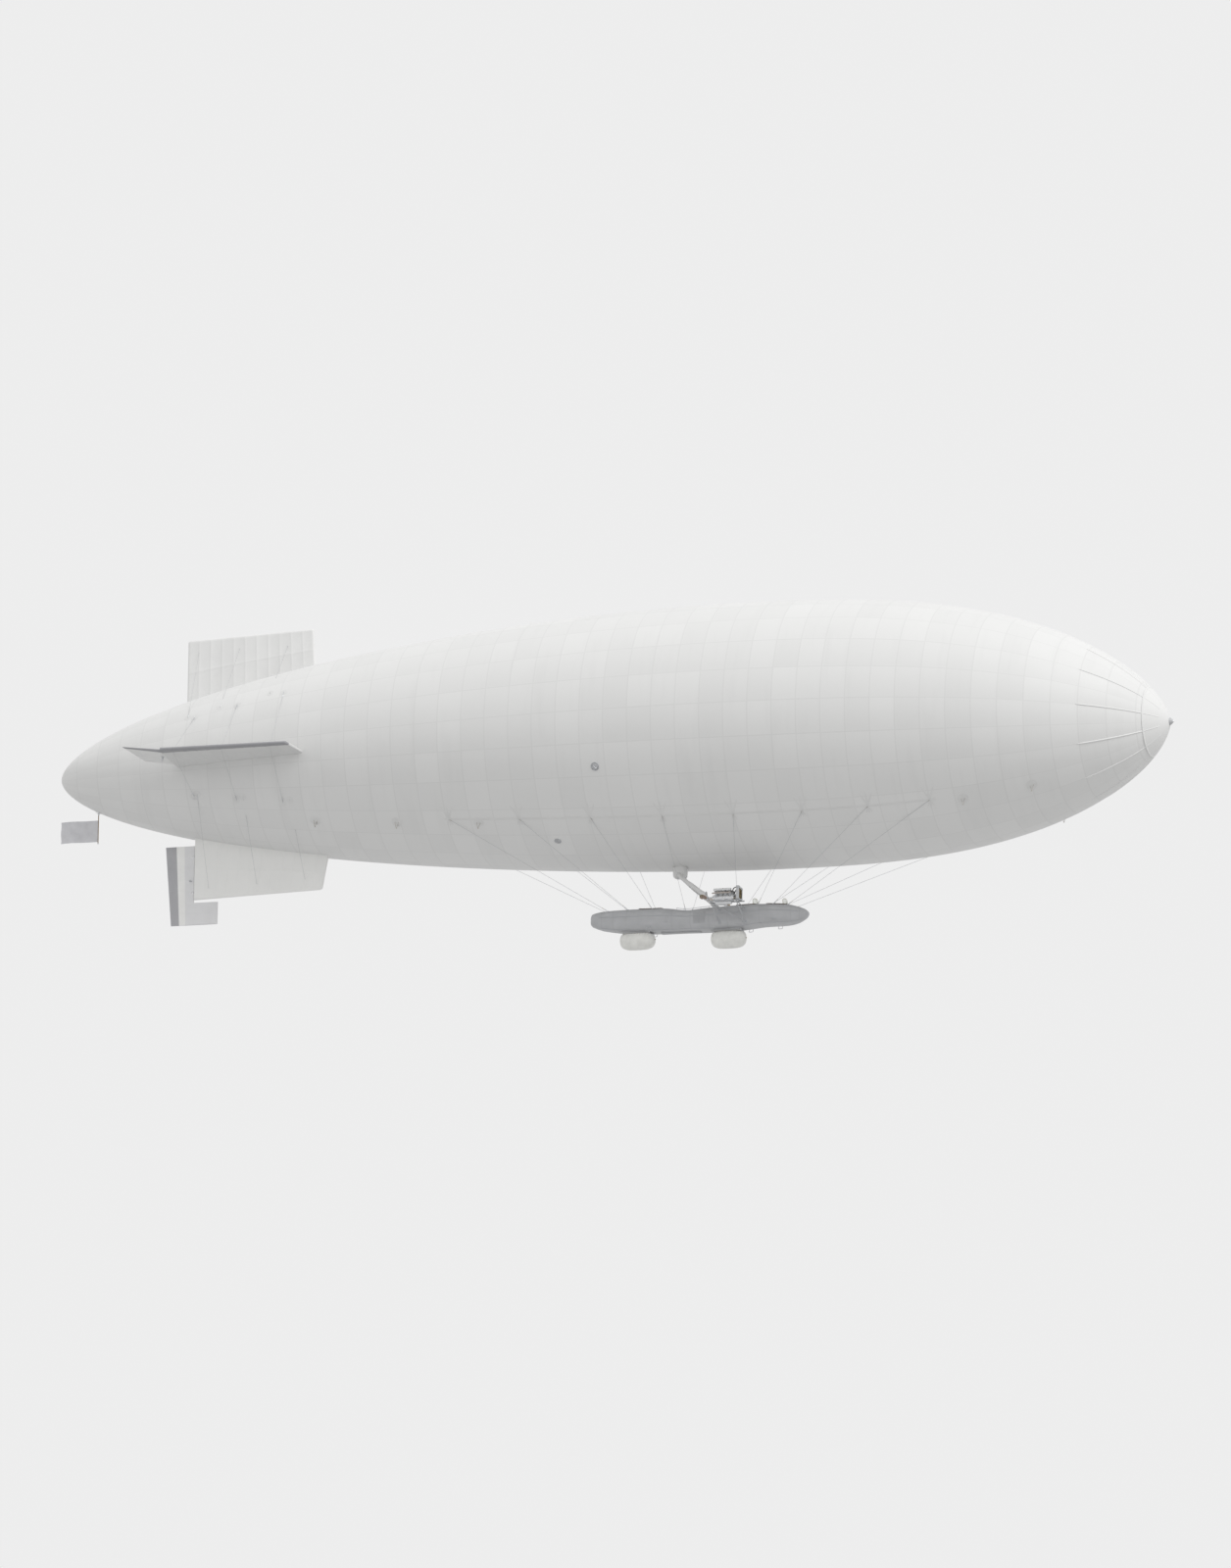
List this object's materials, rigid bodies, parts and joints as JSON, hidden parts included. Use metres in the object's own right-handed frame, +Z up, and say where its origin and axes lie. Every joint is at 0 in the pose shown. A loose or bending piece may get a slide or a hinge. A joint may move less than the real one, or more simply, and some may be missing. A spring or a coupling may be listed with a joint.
{
  "type": "non-rigid airship, 1:2 scale model",
  "caption": "Helium airship with a bowed streamlined envelope, cruciform tail, open car on cables, engines on outriggers with pusher propellers, and bumper bags.",
  "frame": {"origin": "on the envelope's centre line where its lift acts, 45 percent of its length aft of the nose", "axes": "+X towards the nose, +Y to port, +Z up"},
  "size_m": [29.95, 7, 9.19],
  "materials": {
    "silver_cloth": "aluminium-doped balloon fabric, matt with a faint sheen",
    "fin_cloth": "doped fabric over a frame, matt",
    "striped_cloth": "doped fabric with upright stripes, matt",
    "ensign_cloth": "plain wool bunting",
    "steel_tube": "painted steel tube",
    "steel_cable": "galvanised wire rope",
    "valve_metal": "dark painted sheet metal",
    "car_panels": "grey painted panels, satin",
    "varnished_wood": "varnished spruce and ash",
    "seat_leather": "dark stuffed leather",
    "screen_glass": "clear curved sheet",
    "bag_rubber": "rubbered fabric, light grey and dusty",
    "engine_metal": "cast aluminium with black enamelled cylinders",
    "radiator_metal": "dull brass honeycomb",
    "propeller_wood": "laminated and varnished walnut"
  },
  "bodies": {
    "root": {"envelope": "silver_cloth", "nose_cap": "silver_cloth", "air_manifold": "silver_cloth", "port_scoop_duct": "silver_cloth", "starboard_scoop_duct": "silver_cloth", "upper_fin": "fin_cloth", "lower_fin": "fin_cloth", "port_stabiliser": "fin_cloth", "starboard_stabiliser": "fin_cloth", "ensign": "ensign_cloth", "ensign_staff": "steel_tube", "port_outrigger": "steel_tube", "starboard_outrigger": "steel_tube", "port_suspension": "steel_cable", "starboard_suspension": "steel_cable", "gas_valve_port": "valve_metal", "gas_valve_starboard": "valve_metal", "air_valve_port": "valve_metal", "air_valve_starboard": "valve_metal", "car_nose_cowl": "car_panels", "car_forward_section": "car_panels", "car_middle_section": "car_panels", "car_centre_section": "car_panels", "car_after_section": "car_panels", "car_tail_cone": "car_panels", "forward_bag_cradle": "car_panels", "after_bag_cradle": "car_panels", "car_floor": "varnished_wood", "instrument_panel": "varnished_wood", "rudder_wheel": "varnished_wood", "elevator_wheel": "varnished_wood", "keel_skid": "varnished_wood", "forward_seat": "seat_leather", "middle_seat": "seat_leather", "after_seat": "seat_leather", "forward_windscreen": "screen_glass", "middle_windscreen": "screen_glass", "forward_bumper_bag": "bag_rubber", "after_bumper_bag": "bag_rubber", "port_engine": "engine_metal", "starboard_engine": "engine_metal", "port_radiator": "radiator_metal", "starboard_radiator": "radiator_metal"},
    "rudder": {"rudder": "striped_cloth"},
    "port_elevator": {"port_elevator": "striped_cloth"},
    "starboard_elevator": {"starboard_elevator": "striped_cloth"},
    "port_propeller": {"port_propeller": "propeller_wood"},
    "starboard_propeller": {"starboard_propeller": "propeller_wood"}
  },
  "joints": [
    {"name": "rudder_hinge", "type": "hinge", "parent": "root", "child": "rudder", "pos_m": [-12.7925, 0, -2.97223], "axis": [0, 0, 1], "range_deg": [-25, 25]},
    {"name": "port_elevator_hinge", "type": "hinge", "parent": "root", "child": "port_elevator", "pos_m": [-12.7925, 2.8, -0.47223], "axis": [0, 1, 0], "range_deg": [-33, 17]},
    {"name": "starboard_elevator_hinge", "type": "hinge", "parent": "root", "child": "starboard_elevator", "pos_m": [-12.7925, -2.8, -0.47223], "axis": [0, 1, 0], "range_deg": [-33, 17]},
    {"name": "port_propeller_shaft", "type": "hinge", "parent": "root", "child": "port_propeller", "pos_m": [1.3825, 1.15, -4.61223], "axis": [1, 0, 0], "continuous": true},
    {"name": "starboard_propeller_shaft", "type": "hinge", "parent": "root", "child": "starboard_propeller", "pos_m": [1.3825, -1.15, -4.61223], "axis": [1, 0, 0], "continuous": true}
  ],
  "couplings": [
    {"joint": "starboard_elevator_hinge", "follows": "port_elevator_hinge", "ratio": 1}
  ]
}
